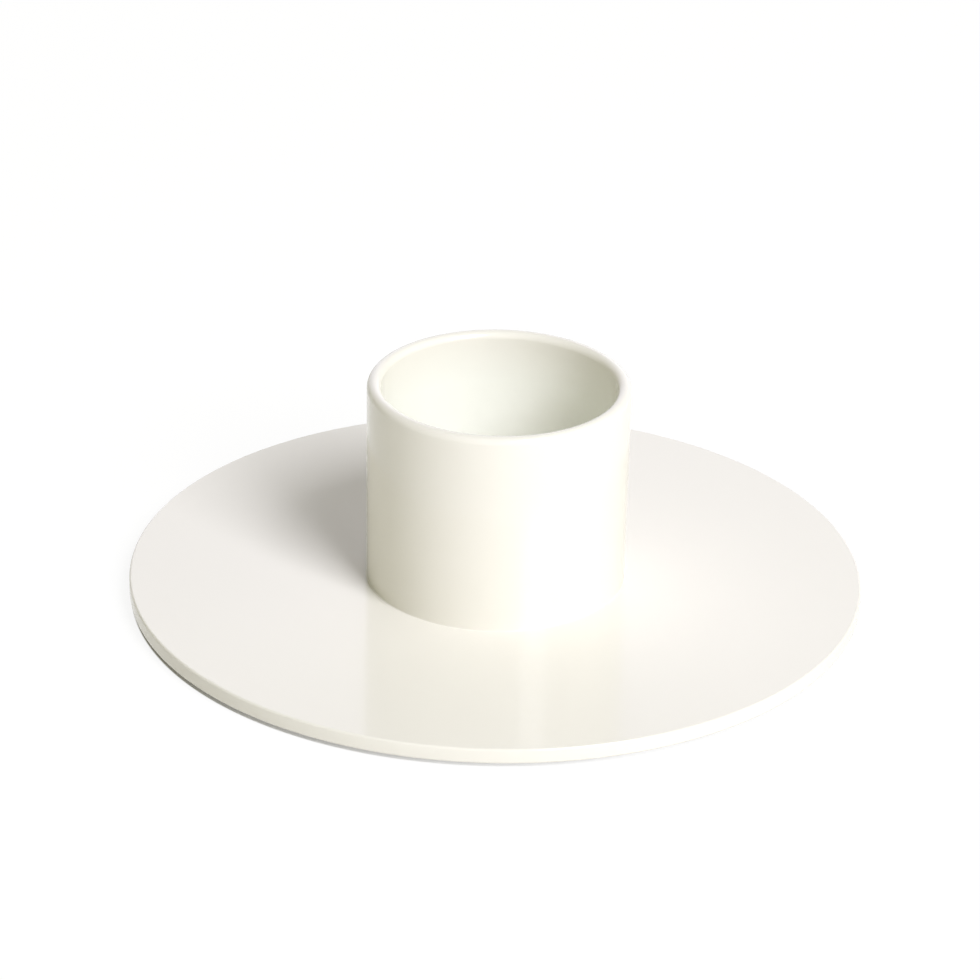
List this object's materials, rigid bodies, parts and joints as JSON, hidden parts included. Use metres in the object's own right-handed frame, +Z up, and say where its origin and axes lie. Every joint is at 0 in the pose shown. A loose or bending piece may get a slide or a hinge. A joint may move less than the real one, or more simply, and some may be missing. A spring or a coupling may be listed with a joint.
{
  "type": "candlestick",
  "caption": "Low candlestick: a thin round plate with a short round cup welded in its middle that holds a dinner candle upright.",
  "frame": {"origin": "on the surface that it stands on, below the middle of the plate, on the axis of the cup", "axes": "+Z up along the cup's axis, out of its mouth; -Y is the side that faces the picture's viewer, and the first foot pad lies on +Y"},
  "size_m": [0.07, 0.07, 0.022],
  "materials": {
    "powder_coat": "warm white powder coat on steel, satin to glossy, smooth",
    "coated_weld": "warm white powder coat over a weld that was ground flush",
    "anti_slip_film": "matt, soft, light grey"
  },
  "bodies": {
    "root": {"base_plate": "powder_coat", "candle_cup": "powder_coat", "plug_weld": "coated_weld", "foot_pad_1": "anti_slip_film", "foot_pad_2": "anti_slip_film", "foot_pad_3": "anti_slip_film"}
  },
  "joints": []
}
